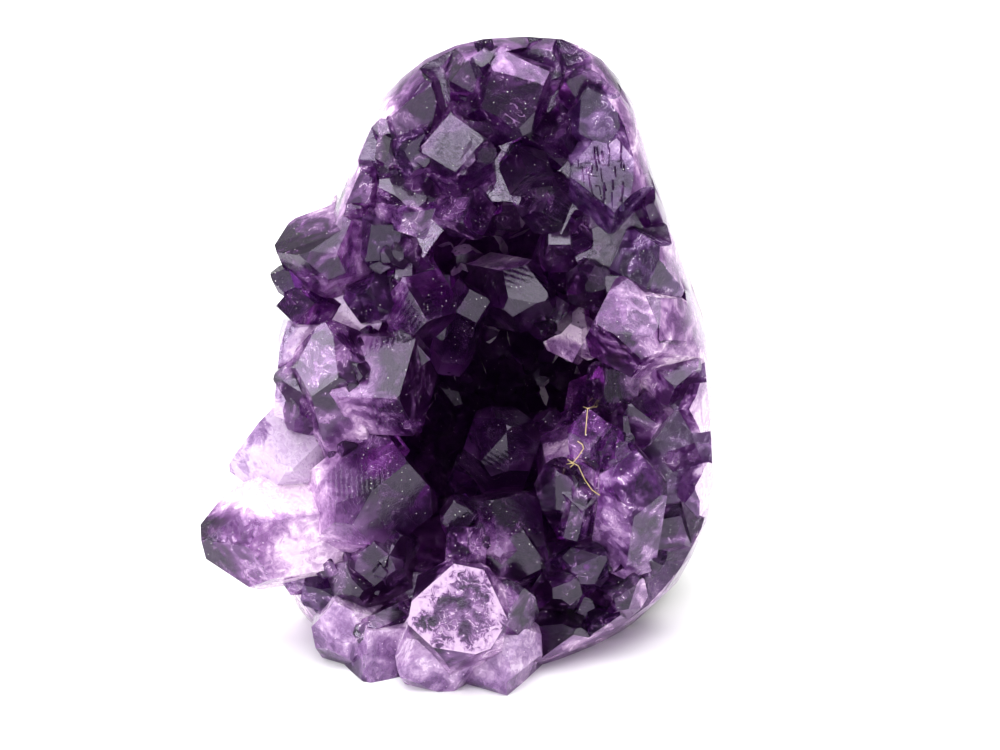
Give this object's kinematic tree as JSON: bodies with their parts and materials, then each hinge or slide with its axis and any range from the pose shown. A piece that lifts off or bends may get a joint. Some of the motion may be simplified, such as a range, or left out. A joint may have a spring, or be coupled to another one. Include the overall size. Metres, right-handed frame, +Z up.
{
  "type": "amethyst geode",
  "caption": "Standing egg-shaped geode on a sawn flat base: its open side is lined with purple quartz points on a milky layer, its back is rough rock.",
  "frame": {"origin": "middle of the bounding box, on the level that the sawn base stands on", "axes": "+Z up along the stone's height, -Y out of the open side with the points, +X to the right of one who faces the points"},
  "size_m": [0.1326, 0.1014, 0.1575],
  "materials": {
    "rind": "rough grey basalt with a pale edge",
    "amethyst": "clear purple quartz, milky white where it meets the rock"
  },
  "bodies": {
    "root": {"rock_rind": "rind", "amethyst_crust": "amethyst"}
  },
  "joints": []
}
